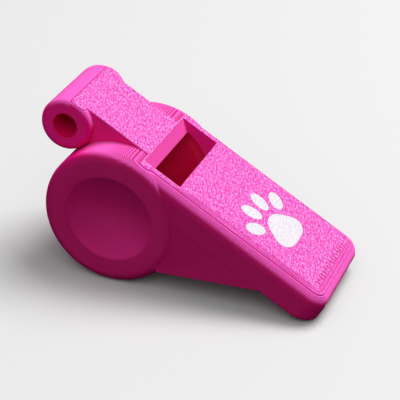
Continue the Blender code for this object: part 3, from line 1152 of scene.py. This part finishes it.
def streaks(place):
    """Noise in cells of the size STREAK, turned by STREAK_TURN."""
    inputs = {"Vector": place, "Rotation": (0, 0, STREAK_TURN), "Scale": STREAK}
    spot = place.finish.node("Mapping", {"vector_type": "TEXTURE"}, inputs)
    return noise(spot, 1.0, STREAK_DETAIL)


def bed_colour(at, colours, fine):
    """Plate, whose pale pink is partly the grain's own and partly painted light, with pits in the
    noise's low half and specks of painted glint in its high half, then sparks of painted glint,
    and plain plate towards the mouth and the near edge."""
    bed = mixed(colours["plate"], colours["pit"], (HALFWAY - fine).share(PIT_SPAN))
    bed = mixed(bed, colours["painted_glint"], (fine - HALFWAY).share(SPECK_SPAN))
    dots = noise(at.place, 1 / SPARKLE, SPARK_DETAIL)
    bed = mixed(bed, colours["painted_sparkle"], (dots - SPARK_FROM).share(SPARK_SPAN) * SPARK_SHARE)
    mouth = (at.x - PLAIN_EDGE[0]).share(PLAIN_FADE)
    near = (PLAIN_EDGE[1] - at.y).share(PLAIN_FADE) * (at.x > WINDOW[1])
    return mixed(bed, colours["plate"], mouth.math("MAXIMUM", mouth, near) * PLAIN_SHARE)


print(f"streaks of {STREAK[0]} x {STREAK[1]} mm, sparks of {SPARKLE} mm")

# %% [markdown]
# Last come the dark lines: the bed's grooves and slots, the feet of walls on the shoulder and
# the rounded edges, and the seams in a wide ledge. The lamps shade them, and a darker colour
# paints more shade into them.

# %% Dark lines
SUNK_FROM = 0.02
SUNK_FADE = 0.03
SHOULDER_START = -9
FIRST_FOOT_LOSS = 0.35
LONG_EDGE_SHARE = 0.15
MOUTH_EDGE_SHARE = 0.5
MOUTH_EDGE_START = MOUTH - 2.2
SEAM_PITCH = 0.47
SEAM_SHIFT = 0.3
SEAM_WIDTH = 0.34
SEAM_LEDGE = 0.8
SEAM_SHARE = 0.8


def with_painted_shade_lines(base, at, colours):
    """Painted shade on sunk places, each zone by its own share, and on seams at an even pitch on
    the shoulder.
    """
    shoulder = (at.x < WINDOW[0]) * (at.x > SHOULDER_START) * (1 - at.first_foot * FIRST_FOOT_LOSS)
    more = (at.x > MOUTH_EDGE_START) * (MOUTH_EDGE_SHARE - LONG_EDGE_SHARE)
    edges = (at.x > WINDOW[1]) * (more + LONG_EDGE_SHARE)
    behind = (at.x < BARREL_BACK) * at.first_foot
    shown = at.on_bed + (1 - at.on_bed) * (shoulder + edges + behind)
    base = mixed(base, colours["dark"], (at.sunk - SUNK_FROM).share(SUNK_FADE) * shown)
    across = at.x / SEAM_PITCH + SEAM_SHIFT
    off_middle = (across.math("FRACT", across) - 0.5).size()
    seam_shade = (off_middle > 0.5 - SEAM_WIDTH / 2) * (at.width > SEAM_LEDGE)
    seam_shade = seam_shade * (1 - at.on_bed) * shoulder
    return mixed(base, colours["dark"], seam_shade * SEAM_SHARE)


print(f"seams of {SEAM_WIDTH * SEAM_PITCH:.2f} mm, {SEAM_PITCH} mm apart")

# %% Plastic
ROUGHNESS = 0.45
SPECULAR = 0.12
BUMP_HEIGHT = 0.05


def plastic(name, colours):
    """The walls, and over them the painted light of the ledges, the belly's painted glow and
    shade, the bed's face with a slight bump from its noise, and the dark lines of painted shade."""
    finish = Finish(name)
    at = Zones(finish)
    fine = streaks(at.place)
    base = wall_colour(at, colours)
    base = with_ledge_and_window_light(base, at, colours)
    base = with_belly_glow_and_shade(base, at, colours)
    base = mixed(base, bed_colour(at, colours, fine), at.on_bed)
    base = with_painted_shade_lines(base, at, colours)
    bump = finish.node("Bump", inputs={
        "Strength": 1.0, "Distance": MM, "Height": at.on_bed * fine * BUMP_HEIGHT,
    })
    finish.shade_with(finish.node("BsdfPrincipled", inputs={
        "Base Color": base, "Roughness": ROUGHNESS, "Normal": bump,
        "Specular IOR Level": SPECULAR,
    }))
    print(f"{name}: {len(finish.tree.nodes)} nodes")
    return finish.material


# The walls' pink is a darker copy, painted shade, and the ledges' paler copy is painted light. The
# bed's face is paler, partly from its grain and partly as painted light. The glows and the
# brighter reds inside the drum, in the hollows and on the window's sides are painted light, the
# specks and sparks painted glints, and the dark colour painted shade. The pits are the grain's own
# tone. The white plastic has one colour on all its walls.
PINK = {
    "wall": (0.68, 0.006, 0.18), "glow": (0.98, 0.032, 0.35), "painted_bounce": (0.98, 0.002, 0.28),
    "deep": (1, 0, 0.14), "lit": (1, 0, 0.36), "ledge_highlight": (1, 0.145, 0.64),
    "plate": (0.90, 0.115, 0.57), "pit": (0.77, 0.05, 0.40), "painted_glint": (1, 0.31, 0.85),
    "painted_sparkle": (1, 0.6, 0.97), "dark": (0.60, 0, 0.14),
}
WHITE = {
    **dict.fromkeys(("wall", "glow", "painted_bounce", "deep", "lit", "ledge_highlight"), (0.8, 0.74, 0.8)),
    "plate": (0.88, 0.81, 0.89), "pit": (0.76, 0.70, 0.78), "painted_glint": (0.92, 0.87, 0.93),
    "painted_sparkle": (0.94, 0.9, 0.95), "dark": (0.7, 0.5, 0.6),
}
pink, white = plastic("pink_plastic", PINK), plastic("white_plastic", WHITE)
for piece in bpy.context.scene.objects:
    if piece.name.startswith("printed_"):
        is_pink = piece.name in ("printed_body", "printed_pea")
        piece.data.materials.append(pink if is_pink else white)

# %% [markdown]
# ## Floor and light
#
# The whistle stands on a plain pale floor. A white plane would throw so much light up that the
# whistle's underside would glow, so the floor is pale to the camera alone, and still takes the
# shadow. Nothing here is metal or glass, which would have to show it too.
#
# Most light comes from a soft lamp above and behind, as from a window. A weaker, wider one on
# the camera's side and a faint room open up the shadows. The view transform is Standard, so a
# colour shows about as it is written.

# %% Floor
FLOOR_SIZE = 3
PALE = 0.80
BOUNCE = 0.06
bpy.ops.mesh.primitive_plane_add(size=FLOOR_SIZE)
floor = bpy.context.object
floor.name = "floor"
finish = Finish("pale_floor")
seen = finish.node("LightPath", output="Is Camera Ray")
pale = finish.node("BsdfDiffuse", inputs={"Color": (PALE, PALE, PALE, 1)})
dark = finish.node("BsdfDiffuse", inputs={"Color": (BOUNCE, BOUNCE, BOUNCE, 1)})
finish.shade_with(finish.node("MixShader", inputs={0: seen, 1: dark, 2: pale}))
floor.data.materials.append(finish.material)
print(f"{floor.name}: {FLOOR_SIZE} m square")

# %% Lights
LAMP_DISTANCE = 0.8
ROOM = 0.2


def lamp(name, toward, size, watts):
    """A square lamp that lights the whistle from the way `toward` points."""
    made = bpy.data.objects.new(name, bpy.data.lights.new(name, "AREA"))
    made.data.size, made.data.energy = size, watts
    toward = Vector(toward).normalized()
    spot = Matrix.Translation(LOOK_AT + toward * LAMP_DISTANCE)
    made.matrix_world = spot @ toward.to_track_quat("Z", "Y").to_matrix().to_4x4()
    bpy.context.scene.collection.objects.link(made)
    print(f"{name}: {watts} W from {[round(c, 2) for c in toward]}")


lamp("window", (0.30, 0.34, 0.93), size=0.5, watts=5.9)
lamp("ceiling", (0.2, -0.8, 1), size=0.7, watts=1.6)
world = bpy.data.worlds.new("room")
bpy.context.scene.world = world
world.use_nodes = True
background = world.node_tree.nodes["Background"].inputs
background["Color"].default_value = (1, 1, 1, 1)
background["Strength"].default_value = ROOM
bpy.context.scene.view_settings.view_transform = "Standard"
